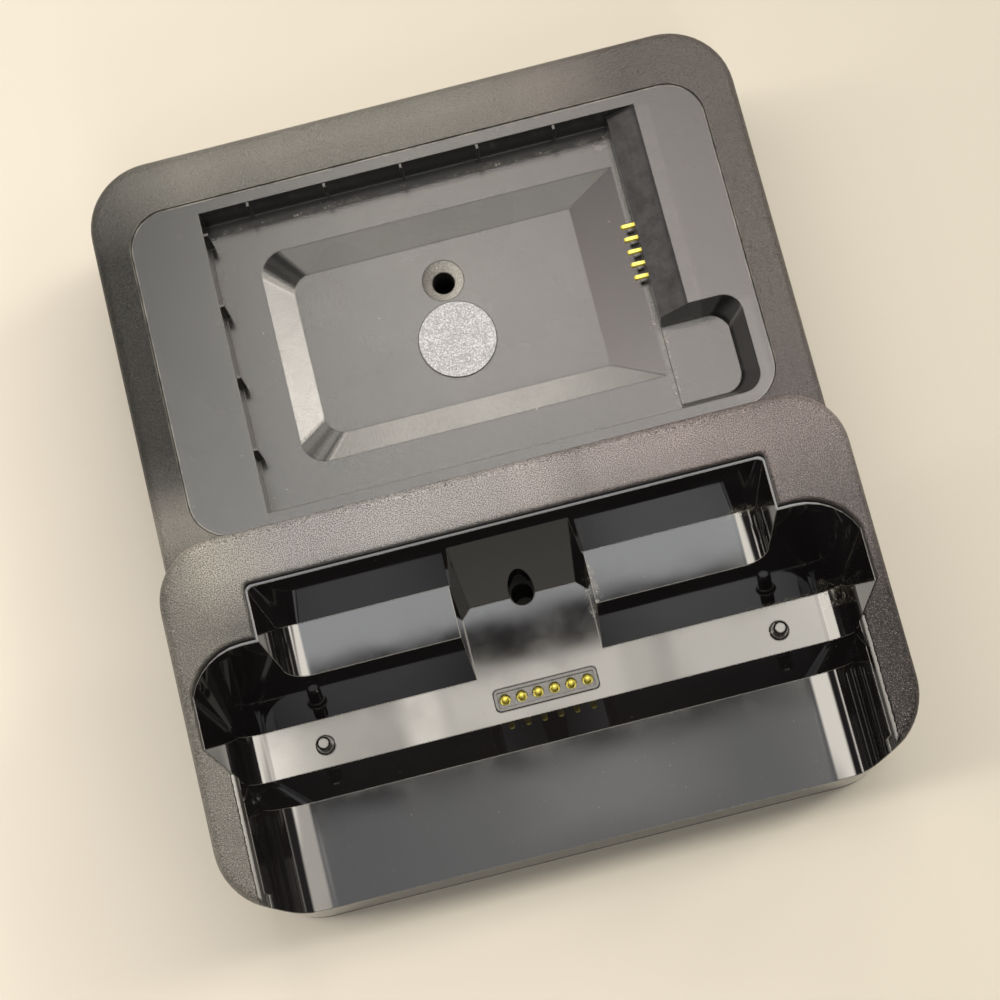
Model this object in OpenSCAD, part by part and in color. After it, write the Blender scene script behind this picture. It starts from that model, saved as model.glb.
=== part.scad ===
// Desk charging cradle for a handheld computer, with a bay for a spare battery behind it.
// Millimetres. X runs right, Y runs to the rear, Z runs up. The origin is the bottom centre of the body's box.

/* [Body] */
// Width of the body
body_w = 100; // [97:0.5:106]
// Depth of the body, rear to front
body_d = 115.2; // [113:0.2:122]
// Height of the rear deck above the table
deck_h = 30; // [28:0.5:34]
// Height of the rim of the front block above the table
rim_h = 43; // [41:0.5:48]
// Radius of the body's corners in plan
corner_r = 10; // [7:0.5:12]
// Distance from the rear edge to the step up to the front block
block_from_rear = 62; // [60:0.5:64]
// Radius of the front block's rear corners
block_corner_r = 8.7; // [6:0.1:11]
// Wall of the textured housing
shell_t = 1.6; // [1.2:0.1:2]
// Rounding of the housing's top edges
edge_r = 1.5; // [0.8:0.1:2.5]
// Smooth slanted edge round the housing's opening
rim_bevel = 0.25; // [0.15:0.05:0.6]
// Rounding of the arms' inner edges
arm_round = 1.1; // [0.6:0.1:1.6]
// Thickness of the bottom cover
base_t = 2; // [1.6:0.1:3]
// Height of the bottom cover's locating lip
base_lip_h = 2.5; // [1.5:0.1:4]

/* [Cradle insert] */
// Wall of the glossy insert
insert_t = 1.6; // [1.2:0.1:2]
// Lean of the back of the device from vertical, degrees
lean = 20.2; // [16:0.2:24]
// Height of the slot's floor above the table
slot_floor_h = 16; // [14.5:0.1:18]
// Depth of the slot's floor, rear to front
slot_floor_d = 7.3; // [6:0.1:9]
// Distance from the block's rear face to the rim of the pocket
pocket_rim = 7.5; // [6:0.1:9]
// Half width of the pocket at the rim
pocket_half = 37.9; // [34:0.1:40]
// Distance from the pocket's rim to the rim of the slot
slot_rim = 7.85; // [7:0.05:9]
// Rim left beside the widest part of the slot
slot_side_rim = 1.8; // [1.7:0.1:3]
// Radius of the slot's rear corners at the rim
slot_corner_r = 8.7; // [7:0.1:10]
// Turn left over where those corners meet the slot's sides, in degrees
slot_corner_turn = 20; // [12:1:26]
// Length of the slot's straight ends at the rim
slot_end_d = 7.8; // [5:0.1:9]
// Depth of the slanted corner between a slot end and an arm
arm_corner_d = 5; // [4:0.1:6]
// Width of each arm beside the front lip
arm_w = 5.6; // [5:0.1:7]
// Narrowing of the slot from the rim to the floor, each side
slot_draft = 1.8; // [1.4:0.1:3]
// Fillet between the slot's floor and its ends
slot_fillet = 4; // [2:0.1:5]
// Height of the ledges in the pocket above the table
ledge_h = 29; // [26:0.5:32]
// Fillet between a ledge and the pocket's side
ledge_fillet = 3.7; // [2.5:0.1:4.5]
// Radius of the pocket's rear corners at the ledges, sharpening towards the rim
pocket_corner_r = 3.5; // [2:0.1:4.5]
// Half width of the pocket where the fillet ends
ledge_half = 36; // [33:0.1:37]
// Half width of the centre channel
channel_half = 10.5; // [9:0.1:12]
// Narrowing of the channel from the rim to the floor, each side
channel_draft = 0.8; // [0.3:0.1:1.2]
// Lean of the channel's back wall from vertical, degrees
channel_lean = 13.5; // [10:0.1:15]
// Slanted strip at each rear corner of the channel
channel_chamfer = 1.5; // [0.8:0.1:2]
// Height of the front lip above the table
lip_h = 20; // [18.5:0.1:23]
// Length of the slope from the slot's floor to the lip
lip_slope_d = 3.9; // [3:0.1:5]
// Fillet between the lip and the arms
trough_r = 7; // [4:0.1:8]
// Height of the locating pegs
peg_h = 3; // [2:0.1:4]
// Diameter of the locating pegs
peg_dia = 2.1; // [1.6:0.1:3]
// Place of the left peg from the middle
peg_left = 34; // [28:0.1:38]
// Place of the right peg from the middle
peg_right = 35.9; // [28:0.1:38]
// Length of the notch at the foot of the front face
pry_w = 13; // [8:0.5:18]
// Place of that notch from the middle
pry_x = 26.5; // [15:0.5:32]

/* [Battery bay] */
// Frame of the deck beside the bay insert
deck_frame_side = 5.6; // [5:0.1:7]
// Frame of the deck behind the bay insert
deck_frame_rear = 8.3; // [7:0.1:9]
// Frame of the deck between the bay insert and the front block
deck_frame_front = 2.3; // [1.5:0.1:3]
// Corner radius of the bay insert
plate_r = 6; // [4:0.1:7]
// Wall of the bay insert
bay_t = 1.5; // [1.2:0.1:2]
// Drop of the bay insert below the deck
plate_drop = 0.3; // [0.1:0.1:0.6]
// Width of the battery bay
bay_w = 63.4; // [60:0.2:64]
// Length of the battery bay, rear to front
bay_d = 47.5; // [45:0.1:48]
// Depth of the battery bay
bay_h = 7; // [6:0.1:8]
// Offset of the bay's middle to the left
bay_shift = 1.6; // [0:0.1:2]
// Distance from the plate's rear edge to the bay
bay_from_plate = 1.9; // [1.5:0.1:2.4]
// Width of the slope above the contacts
ramp_w = 4.3; // [3:0.1:5]
// Height of the upright wall below that slope
ramp_foot_h = 4; // [3.2:0.1:5]
// Length of the finger notch
notch_d = 15.3; // [12:0.1:16]
// Width of the finger notch at the rim
notch_w = 11.9; // [9:0.1:12]
// Narrowing of the finger notch towards its floor
notch_draft = 2; // [1:0.1:3]
// Step from the bay's floor up to the notch's floor
notch_step = 0.4; // [0.2:0.1:1]
// Corner radius of the finger notch
notch_r = 3; // [2:0.1:4]
// Width of the tray in the bay's floor
tray_w = 55.8; // [50:0.2:56]
// Length of the tray in the bay's floor
tray_d = 34; // [30:0.2:36]
// Depth of the tray
tray_h = 2; // [1.5:0.1:2.5]
// Slope at the tray's left, rear and front sides
tray_slope = 4.2; // [3:0.1:5]
// Slope at the tray's right side
tray_slope_right = 7.6; // [6:0.1:9]
// Corner radius at the tray's left side
tray_r = 4; // [2:0.1:5]
// Distance from the bay's rear wall to the tray
tray_from_bay = 6.5; // [5:0.1:8]
// Number of locating ribs on the bay's rear wall
rear_rib_count = 5; // [3:1:6]
// Spacing of those ribs
rear_rib_pitch = 11.9; // [9:0.1:12]
// Number of locating ribs on the bay's left wall
left_rib_count = 4; // [2:1:5]
// Spacing of those ribs
left_rib_pitch = 11.4; // [9:0.1:12]
// Width of a locating rib
rib_w = 0.4; // [0.3:0.1:0.8]
// Height of a rib off its wall
rib_depth = 0.7; // [0.5:0.1:1]
// Diameter of the round pad in the tray
pad_dia = 11.8; // [10:0.1:13]
// Thickness of the round pad
pad_t = 0.5; // [0.3:0.1:0.8]
// Place of the pad's middle from the rear mounting hole
pad_from_hole = 9.6; // [9:0.1:11]

/* [Mounting holes] */
// Distance from the rear edge to the rear mounting hole
mount_rear = 27.1; // [26:0.1:29]
// Spacing of the two mounting holes
mount_spacing = 49; // [48.5:0.1:49.5]
// Diameter of the mounting holes
mount_dia = 3.4; // [3:0.1:4]
// Diameter of the rear hole's countersink
mount_sink_dia = 6.5; // [5.5:0.1:7.5]
// Diameter of the front hole's mouth in the channel
mount_mouth_dia = 3.9; // [3.5:0.1:4.5]
// Wall of the tubes round the mounting screws
tube_t = 1.8; // [1.4:0.1:2.5]

/* [Device connector] */
// Number of spring pins
pin_count = 6; // [4:1:7]
// Spacing of the spring pins
pin_pitch = 2.54; // [2.2:0.02:2.6]
// Diameter of a pin's tip
pin_dia = 1.0; // [0.8:0.05:1.1]
// Travel of a pin
pin_travel = 1.2; // [0.8:0.1:1.4]
// Height of the pins above the connector's face
pin_rise = 1.5; // [1.4:0.1:2]
// Outer diameter of a pin's barrel
barrel_dia = 1.6; // [1.5:0.05:1.8]
// Length of a pin's barrel
barrel_h = 6.2; // [5.8:0.1:6.6]
// Length of the connector's face
connector_w = 15.8; // [15.8:0.1:19]
// Depth of the connector's face
connector_d = 3.3; // [3:0.1:4]
// Height of the connector's rim above the slot's floor
connector_rise = 0.3; // [0.1:0.1:0.5]
// Width of the connector's rim
connector_rim = 0.5; // [0.3:0.05:0.6]
// Place of the pins in front of the slot floor's rear edge
pin_from_floor = 3.95; // [3.6:0.05:4.2]

/* [Battery contacts] */
// Number of battery contacts
contact_count = 5; // [3:1:5]
// Spacing of the battery contacts
contact_pitch = 2.04; // [1.9:0.02:2.2]
// Width of a battery contact
contact_w = 0.55; // [0.4:0.05:0.8]
// Height of a contact's loop
contact_h = 0.9; // [0.8:0.1:1.4]
// Thickness of a contact's strip
contact_t = 0.2; // [0.15:0.05:0.3]
// Reach of a contact into the bay
contact_reach = 2.1; // [1.6:0.1:2.4]
// Travel of a contact
contact_travel = 1.2; // [0.8:0.1:1.4]
// Distance from the bay's rear wall to the middle contact
contact_from_bay = 21.1; // [19:0.1:23]
// Height of the contacts above the bay's floor
contact_above_floor = 2; // [1.6:0.1:2.2]
// Length of the contact carrier behind the wall
carrier_l = 6; // [5:0.1:7]
// Wall of the contact carrier above and below its contacts
carrier_wall = 1.2; // [0.8:0.1:1.4]
// Width of the ribbon socket on the board
socket_w = 4; // [3:0.1:5]
// Height of the ribbon socket
socket_h = 3; // [2.5:0.1:4]

/* [Circuit board] */
// Thickness of the board
board_t = 1.6; // [1.2:0.2:2]
// Height of the board's underside above the table
board_h = 6.6; // [6:0.1:7]
// Gap between the board and the screw columns beside it
board_gap = 0.6; // [0.4:0.1:2]
// Distance from the rear edge to the board
board_from_rear = 3; // [2.5:0.5:5]
// Length of the board
board_d = 100; // [96:1:102]
// Distance of the board screws from the board's sides
board_screw_edge = 6; // [4.5:0.5:9]
// Distance from the board's rear edge to its rear screws
board_screw_rear = 40; // [39:1:44]
// Spacing of the board screws, rear to front
board_screw_d = 44; // [40:1:50]
// Diameter of the board screws' thread
board_screw_dia = 2.5; // [2:0.1:3]
// Width of the charge controller
chip_w = 7; // [5:0.5:9]
// Height of the charge controller
chip_h = 1; // [0.8:0.1:1.6]
// Distance from the board's rear edge to the charge controller
chip_from_rear = 62; // [58:1:66]
// Width of the inductor
inductor_w = 8; // [6:0.5:10]
// Height of the inductor
inductor_h = 3.6; // [3:0.1:5]
// Distance from the board's rear edge to the inductor
inductor_from_rear = 46; // [44:1:48]
// Place of both parts left of the middle
charger_x = 18; // [14:1:22]
// Diameter of the smoothing capacitor
capacitor_dia = 8; // [6:0.5:10]
// Height of the smoothing capacitor
capacitor_h = 9; // [7:0.5:10]
// Gap between the capacitor and the inlet
capacitor_gap = 2; // [1:0.5:4]

/* [Power inlet] */
// Place of the power inlet left of the middle
jack_x = 24; // [18:1:30]
// Width of the inlet
jack_w = 9; // [8:0.5:11]
// Length of the inlet
jack_d = 14; // [11:0.5:15]
// Height of the inlet
jack_h = 10.4; // [9:0.1:10.8]
// Bore of the inlet
jack_bore = 5.6; // [5.5:0.1:6.4]
// Diameter of the inlet's centre pin
jack_pin_dia = 2.1; // [1.6:0.1:2.5]

/* [Fasteners and feet] */
// Radius of the screw bosses of the housing
boss_r = 3; // [2.6:0.1:3.4]
// Thread diameter of the case screws
case_screw_dia = 2.9; // [2.5:0.1:3.2]
// Head diameter of the case screws
case_head_dia = 5.2; // [4.6:0.1:5.6]
// Length of the case screws below their heads
case_screw_l = 8; // [6:0.5:10]
// Height of the screws' heads
head_t = 1.4; // [1:0.1:1.6]
// Span of the cross in the screws' heads
cross_span = 2.4; // [1.8:0.1:2.8]
// Distance from the rear edge to the rear case screws
case_screw_rear = 13; // [12:0.5:16]
// Distance from the front edge to the front case screws
case_screw_front = 13.5; // [13:0.5:17]
// Diameter of the rubber feet
foot_dia = 9; // [7:0.5:10]
// Height of the feet below the bottom cover
foot_h = 1; // [0.6:0.1:1.5]
// Depth of the seats of the feet
foot_seat = 0.6; // [0.4:0.1:0.8]
// Distance of the feet from the body's sides
foot_side = 14.5; // [14.5:0.5:18]
// Distance of the feet from the front and rear edges
foot_end = 14; // [10:0.5:18]

/* [Hidden] */
$fn = 48;
fit = 0.1;
eps = 0.01;
cross_w = 0.6;
cross_deep = 0.7;
slice = 0.05;
rim_corner_r = 1;
arm_draft = 0.3;
far = 400;
pilot_gap = 0.15;
seat_t = 1.2;
jack_collar_fit = 0.2;
shelf_w = 2;
shelf_t = 1.2;
post_r = 2.6;
peg_ring = 0.45;
peg_ring_h = 0.6;
pry_h = 0.8;
connector_r = 0.8;
rear_y = body_d / 2;
front_y = -body_d / 2;
base_top = foot_h + base_t;
inner_top = rim_h - shell_t;
arm_x = body_w / 2 - arm_w;
slot_half = body_w / 2 - slot_side_rim;
pocket_y = rear_y - block_from_rear - pocket_rim;
slot_y = pocket_y - slot_rim;
floor_rear_y = slot_y - (rim_h - slot_floor_h) * tan(lean);
floor_front_y = floor_rear_y - slot_floor_d;
floor_half = slot_half - slot_draft;
slot_end_rear_y = slot_y - slot_corner_r * (1 - sin(slot_corner_turn));
slot_end_front_y = slot_end_rear_y - slot_end_d;
arm_y = slot_end_front_y - arm_corner_d;
lip_y = floor_front_y - lip_slope_d;
plate_top = deck_h - plate_drop;
plate_w = body_w - 2 * deck_frame_side;
plate_rear_y = rear_y - deck_frame_rear;
plate_front_y = rear_y - block_from_rear + deck_frame_front;
plate_under = plate_top - bay_t;
bay_left = -bay_w / 2 - bay_shift;
bay_right = bay_w / 2 - bay_shift;
bay_rear_y = plate_rear_y - bay_from_plate;
bay_front_y = bay_rear_y - bay_d;
bay_floor = deck_h - bay_h;
tray_floor = bay_floor - tray_h;
tray_left = bay_left + (bay_w - tray_w) - 1;
tray_rear_y = bay_rear_y - tray_from_bay;
notch_rear_y = bay_front_y + notch_d;
mount_rear_y = rear_y - mount_rear;
mount_front_y = mount_rear_y - mount_spacing;
pin_y = floor_rear_y - pin_from_floor;
board_top = board_h + board_t;
board_rear_y = rear_y - board_from_rear;
contact_y = bay_rear_y - contact_from_bay;
contact_z = bay_floor + contact_above_floor;
carrier_x = bay_right + bay_t;
carrier_w = (contact_count - 1) * contact_pitch + 4;
column_r = case_head_dia / 2 + 0.3 + 0.9;
case_x = body_w / 2 - shell_t - column_r - 0.2;
head_seat = base_top + 0.2;
column_top = head_seat + seat_t;
case_ys = [rear_y - case_screw_rear, front_y + case_screw_front];
foot_xs = [-1, 1] * (body_w / 2 - foot_side);
foot_ys = [rear_y - foot_end, front_y + foot_end];
post_ys = [board_rear_y - board_screw_rear, board_rear_y - board_screw_rear - board_screw_d];
jack_z = board_top + jack_h / 2;
board_w = 2 * (case_x - column_r - board_gap);
post_x = board_w / 2 - board_screw_edge;
lip_in = shell_t + 2 * fit;
lip_w = 1.4;
spring_wire = 0.14;
spring_turns = 5;
spring_sides = 8;
barrel_floor = 0.4;
socket_floor = 1;
ribbon_t = 0.6;
plunger_root = board_top + barrel_h - 3;

// The corner circles of a rectangle with rounded corners, for hull() to wrap
module corners(w, y_front, y_rear, r_front, r_rear) {
    x = w / 2;
    for (s = [-1, 1]) {
        translate([s * (x - r_rear), y_rear - r_rear]) circle(r_rear);
        translate([s * (x - r_front), y_front + r_front]) circle(r_front);
    }
}

// A prism with rounded corners, made of true cylinders and boxes
module slab(w, y_front, y_rear, z0, z1, r_front, r_rear) {
    x = w / 2;
    y_mid_rear = y_rear - r_rear;
    y_mid_front = y_front + r_front;
    translate([0, 0, z0]) linear_extrude(z1 - z0) union() {
        translate([-x, y_mid_front]) square([w, y_mid_rear - y_mid_front]);
        translate([r_rear - x, y_mid_front]) square([w - 2 * r_rear, y_rear - y_mid_front]);
        translate([r_front - x, y_front]) square([w - 2 * r_front, y_mid_rear - y_front]);
        for (s = [-1, 1]) {
            translate([s * (x - r_rear), y_mid_rear]) circle(r_rear);
            translate([s * (x - r_front), y_mid_front]) circle(r_front);
        }
    }
}

// The same prism with its top edge rounded
module rounded_slab(w, y_front, y_rear, z0, z1, r_front, r_rear) {
    steps = 4;
    hull() {
        translate([0, 0, z0]) linear_extrude(z1 - z0 - edge_r) corners(w, y_front, y_rear, r_front, r_rear);
        for (i = [1:steps]) {
            a = 90 * i / steps;
            inset = edge_r * (1 - cos(a));
            translate([0, 0, z1 - edge_r]) linear_extrude(edge_r * sin(a))
                corners(w - 2 * inset, y_front + inset, y_rear - inset, r_front - inset, r_rear - inset);
        }
    }
}

// The whole footprint, drawn in by an inset
module footprint(inset, z0, z1) {
    slab(body_w - 2 * inset, front_y + inset, rear_y - inset, z0, z1, corner_r - inset, corner_r - inset);
}

// Carries a profile drawn in X and Z from one Y to a lower Y
module along_depth(y_from, y_to) {
    translate([0, y_from, 0]) rotate([90, 0, 0]) linear_extrude(y_from - y_to) children();
}

// Half the outline of the device slot at the rim, grown by g, from its rear edge to the arm
function slot_rim_half(g) = concat(
    [for (i = [0:6]) let(a = 90 - i * (90 - slot_corner_turn) / 6)
        [slot_half - slot_corner_r * cos(slot_corner_turn) + (slot_corner_r + g) * cos(a),
         slot_y - slot_corner_r + (slot_corner_r + g) * sin(a)]],
    [[slot_half + g, slot_end_rear_y], [slot_half + g, slot_end_front_y], [arm_x + g, arm_y - g / 2]]);

// Outline of the device slot at the rim, grown by g
module slot_rim_plan(g) {
    right = slot_rim_half(g);
    polygon(concat(right, [for (i = [len(right) - 1:-1:0]) [-right[i][0], right[i][1]]]));
}

// The slot that the foot of the device stands in, grown by g
module slot_space(g) {
    hull() {
        translate([0, 0, rim_h]) linear_extrude(2) slot_rim_plan(g);
        along_depth(floor_rear_y + g, floor_front_y - g) slot_floor_profile(g);
    }
}

// The fillet circles at the ends of the slot's floor, grown by g, for hull() to wrap
module slot_floor_profile(g) {
    for (s = [-1, 1])
        translate([s * (floor_half - slot_fillet), slot_floor_h + slot_fillet]) circle(slot_fillet + g);
}

// Cross-section of the pocket behind the slot, grown by g
module pocket_profile(g) {
    x_mid = ledge_half - ledge_fillet;
    z_mid = ledge_h + ledge_fillet;
    x = ledge_half + g;
    x_top = pocket_half + g;
    translate([-x_mid, ledge_h - g]) square([2 * x_mid, ledge_fillet + g + 1]);
    polygon([[-x, z_mid], [x, z_mid], [x_top, rim_h + 1], [-x_top, rim_h + 1]]);
    for (s = [-1, 1]) translate([s * x_mid, z_mid]) circle(ledge_fillet + g);
}

// The pocket that the back of the device leans in, grown by g
module pocket_space(g) {
    ledge_front_y = slot_y - (rim_h - ledge_h) * tan(lean);
    far_front_y = ledge_front_y - 8;
    foot = ledge_h - g - 1;
    foot_y = pocket_y - (rim_h - foot) * tan(lean) + g / cos(lean);
    top_y = pocket_y + tan(lean) + g / cos(lean);
    intersection() {
        along_depth(rear_y, ledge_front_y - 2) pocket_profile(g);
        hull() {
            translate([0, 0, rim_h + 1]) linear_extrude(slice)
                corners(2 * (pocket_half + g + 0.2), far_front_y, top_y, rim_corner_r, rim_corner_r);
            translate([0, 0, foot]) linear_extrude(slice)
                corners(2 * (ledge_half + g), far_front_y, foot_y, rim_corner_r, pocket_corner_r + g);
        }
    }
}

// Corners of the centre channel at one height, from its back wall to the slot
function channel_corners(half, y, y_slot, z) = [
    [channel_chamfer - half, y, z], [half - channel_chamfer, y, z], [half, y - channel_chamfer, z],
    [half, y_slot, z], [-half, y_slot, z], [-half, y - channel_chamfer, z]
];

// The channel between the two ledges, grown by g
module channel_space(g) {
    top = rim_h + 1;
    foot = slot_floor_h - g;
    back_y = pocket_y - 0.3 + g;
    foot_y = back_y - (top - foot) * tan(channel_lean);
    half = channel_half + g;
    polyhedron(
        concat(channel_corners(half, back_y, slot_y - 3, top),
               channel_corners(half - channel_draft, foot_y, floor_rear_y - 3, foot)),
        [[0, 1, 2, 3, 4, 5], [11, 10, 9, 8, 7, 6],
         [6, 7, 1, 0], [7, 8, 2, 1], [8, 9, 3, 2], [9, 10, 4, 3], [10, 11, 5, 4], [11, 6, 0, 5]]);
}

// Cross-section of the trough between the arms, grown by g
module trough_profile(g) {
    x_mid = arm_x - arm_draft - trough_r;
    z_mid = lip_h + trough_r;
    x = x_mid + trough_r + g;
    translate([-x_mid, lip_h - g]) square([2 * x_mid, trough_r + g + 1]);
    polygon([[-x, z_mid], [x, z_mid], [x + arm_draft, rim_h + 1], [-x - arm_draft, rim_h + 1]]);
    for (s = [-1, 1]) translate([s * x_mid, z_mid]) circle(trough_r + g);
}

// The open front between the arms, with the slope down to the slot's floor, grown by g
module trough_space(g) {
    along_depth(lip_y, front_y - 5) trough_profile(g);
    hull() {
        along_depth(lip_y, lip_y - 1) trough_profile(g);
        along_depth(floor_front_y + slice, floor_front_y) {
            slot_floor_profile(g);
            translate([-floor_half - g, rim_h - 1]) square([2 * (floor_half + g), 1]);
        }
    }
}

// Everything that is open inside the glossy insert, grown by g
module cradle_space(g) {
    slot_space(g);
    pocket_space(g);
    channel_space(g);
    trough_space(g);
}

// The room inside the housing that the glossy insert keeps to
module cradle_room() {
    block_y = rear_y - block_from_rear;
    in = shell_t + fit;
    slab(body_w - 2 * in, front_y + in, block_y - in, base_top, inner_top,
         corner_r - in, block_corner_r - in);
    intersection() {
        footprint(0, base_top, inner_top);
        translate([fit - arm_x, front_y - 1, 0]) cube([2 * (arm_x - fit), arm_y - front_y, far]);
    }
}

// A screw boss of the housing, with a rib to the side wall
module housing_boss(s, y, top) {
    rib_t = 1.6;
    rib_foot = base_top + base_lip_h + 2 * fit;
    translate([s * case_x, y, column_top]) cylinder(h = top - column_top, r = boss_r);
    translate([s > 0 ? case_x : shell_t / 2 - body_w / 2, y - rib_t / 2, rib_foot])
        cube([body_w / 2 - shell_t / 2 - case_x, rib_t, top - rib_foot]);
}

// The textured outer housing: rear deck, front block with its two arms, side and rear walls
module top_housing() {
    block_y = rear_y - block_from_rear;
    color([0.2, 0.195, 0.19]) difference() {
        union() {
            difference() {
                union() {
                    rounded_slab(body_w, front_y, rear_y, base_top, deck_h, corner_r, corner_r);
                    rounded_slab(body_w, front_y, block_y, base_top, rim_h, corner_r, block_corner_r);
                }
                housing_rear_room();
                housing_block_room();
            }
            shelf();
            for (s = [-1, 1]) {
                housing_boss(s, case_ys[0], plate_under - shelf_t / 2);
                housing_boss(s, case_ys[1], slot_floor_h);
            }
        }
        translate([-far / 2, -far / 2, base_top - far]) cube(far);
        plate_opening(fit);
        translate([0, 0, ledge_h]) linear_extrude(far) hull() slot_rim_plan(0);
        rim_bevels();
        slab(2 * pocket_half, slot_y - 2, pocket_y, inner_top - 1, far, rim_corner_r, rim_corner_r);
        translate([-arm_x, front_y - 1, base_top - 1]) cube([2 * arm_x, arm_y - front_y + 1 + eps, far]);
        for (x = [-case_x, case_x]) for (y = case_ys)
            translate([x, y, column_top - 1]) cylinder(h = case_screw_l + 1, d = case_screw_dia + 2 * pilot_gap);
        translate([-jack_x, rear_y - shell_t - 1, jack_z]) rotate([-90, 0, 0])
            cylinder(h = far, d = jack_w + 2 * jack_collar_fit);
    }
}

// The slanted edge round the housing's opening and the rounded inner edges of its arms
module rim_bevels() {
    foot = rim_h - rim_bevel;
    arm_foot = rim_h - arm_round;
    hull() {
        translate([0, 0, foot]) linear_extrude(slice) slot_rim_plan(0);
        translate([0, 0, rim_h]) linear_extrude(slice) slot_rim_plan(rim_bevel);
    }
    hull() {
        translate([0, 0, foot]) linear_extrude(slice)
            corners(2 * pocket_half, slot_y - 2, pocket_y, rim_corner_r, rim_corner_r);
        translate([0, 0, rim_h]) linear_extrude(slice)
            corners(2 * (pocket_half + rim_bevel), slot_y - 2, pocket_y + rim_bevel, rim_corner_r, rim_corner_r);
    }
    along_depth(arm_y + arm_round, front_y - 1) polygon([
        [-arm_x, arm_foot], [arm_x, arm_foot],
        [arm_x + arm_round * (1 - sin(45)), arm_foot + arm_round * sin(45)],
        [arm_x + arm_round, rim_h + eps], [-arm_x - arm_round, rim_h + eps],
        [-arm_x - arm_round * (1 - sin(45)), arm_foot + arm_round * sin(45)]
    ]);
}

// The room under the rear deck
module housing_rear_room() {
    slab(body_w - 2 * shell_t, front_y + shell_t, rear_y - shell_t, base_top - 1, deck_h - shell_t,
         corner_r - shell_t, corner_r - shell_t);
}

// The room inside the front block
module housing_block_room() {
    slab(body_w - 2 * shell_t, front_y + shell_t, rear_y - block_from_rear - shell_t, base_top - 1,
         inner_top, corner_r - shell_t, block_corner_r - shell_t);
}

// The opening in the deck that the bay insert drops into, with a gap all round
module plate_opening(gap) {
    slab(plate_w + 2 * gap, plate_front_y - gap, plate_rear_y + gap, plate_under, far, plate_r, plate_r);
    slab(plate_w - 2 * shelf_w, plate_front_y - gap, plate_rear_y + gap, base_top, plate_under + eps, 1, 1);
}

// The shelves under the left and right edges of the bay insert
module shelf() {
    over = 1;
    difference() {
        slab(plate_w + 2 * over, plate_front_y - over, plate_rear_y + over, plate_under - shelf_t,
             deck_h - shell_t / 2, plate_r + over, plate_r + over);
        translate([0, 0, -eps]) plate_opening(fit);
    }
}

// The bottom cover: plate, locating lip, screw tubes and board posts
module base_cover() {
    color([0.12, 0.12, 0.12]) difference() {
        union() {
            footprint(0, foot_h, base_top);
            difference() {
                footprint(lip_in, base_top - eps, base_top + base_lip_h);
                footprint(lip_in + lip_w, base_top - 1, far);
                for (x = [-case_x, case_x]) for (y = case_ys)
                    translate([x, y, column_top]) cylinder(h = far, r = boss_r + 2 * fit);
            }
            for (x = [-case_x, case_x]) for (y = case_ys)
                translate([x, y, base_top - eps]) cylinder(h = column_top - base_top + eps, r = column_r);
            translate([0, mount_rear_y, base_top - eps])
                cylinder(h = tray_floor - bay_t - base_top + eps, d = mount_dia + 2 * tube_t);
            translate([0, mount_front_y, base_top - eps])
                cylinder(h = slot_floor_h - insert_t - base_top + eps, d = mount_dia + 2 * tube_t);
            for (x = [-post_x, post_x]) for (y = post_ys)
                translate([x, y, base_top - eps]) cylinder(h = board_h - base_top + eps, r = post_r);
        }
        for (y = [mount_rear_y, mount_front_y])
            translate([0, y, -1]) cylinder(h = far, d = mount_dia);
        for (x = [-post_x, post_x]) for (y = post_ys)
            translate([x, y, base_top - eps]) cylinder(h = far, d = board_screw_dia + 2 * pilot_gap);
        for (x = [-case_x, case_x]) for (y = case_ys) {
            translate([x, y, -1]) cylinder(h = far, d = case_screw_dia + 4 * pilot_gap);
            translate([x, y, -1]) cylinder(h = head_seat + 1, d = case_head_dia + 0.6);
        }
        for (x = foot_xs) for (y = foot_ys)
            translate([x, y, -1]) cylinder(h = foot_h + foot_seat + 1, d = foot_dia + 2 * fit);
        translate([pry_x - pry_w / 2, front_y - 1, base_top - pry_h]) cube([pry_w, 2, pry_h + eps]);
    }
}

// The glossy insert: pocket, slot, channel, front lip, pegs and the front face down to the bottom cover
module cradle_insert() {
    color([0.06, 0.06, 0.07]) {
        difference() {
            intersection() {
                union() {
                    cradle_space(insert_t);
                    front_face();
                }
                cradle_room();
            }
            cradle_space(0);
            translate([0, mount_front_y, 0]) cylinder(h = ledge_h, d = mount_mouth_dia);
            connector_opening();
        }
        peg(-peg_left);
        peg(peg_right);
    }
}

// The front wall of the insert between the arms
module front_face() {
    difference() {
        footprint(0, base_top, rim_h);
        footprint(insert_t, 0, far);
        translate([-far / 2, arm_y - insert_t, 0]) cube(far);
    }
}

// The hole in the slot's floor for the connector
module connector_opening() {
    translate([0, pin_y, 0]) slab(connector_w + 2 * fit, -connector_d / 2 - fit, connector_d / 2 + fit,
        0, ledge_h, connector_r, connector_r);
}

// A locating peg with its ring, standing on the slot's floor
module peg(x) {
    translate([x, pin_y, slot_floor_h - eps]) {
        cylinder(h = peg_h - 0.3, d = peg_dia);
        translate([0, 0, peg_h - 0.3 - eps]) cylinder(h = 0.3, d1 = peg_dia, d2 = peg_dia - 0.6);
        cylinder(h = peg_ring_h, d1 = peg_dia + 2 * peg_ring, d2 = peg_dia + peg_ring);
    }
}

// Outline of the tray in the bay's floor, drawn in by the slopes times k, for hull() to wrap
module tray_plan(k, g) {
    x0 = tray_left + tray_slope * k - g;
    x1 = tray_left + tray_w - tray_slope_right * k + g;
    y0 = tray_rear_y - tray_slope * k + g;
    y1 = tray_rear_y - tray_d + tray_slope * k - g;
    r = tray_r - k;
    translate([x0 + r, y0 - r]) circle(r);
    translate([x0 + r, y1 + r]) circle(r);
    translate([x1 - 1, y1]) square([1, y0 - y1]);
}

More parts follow.
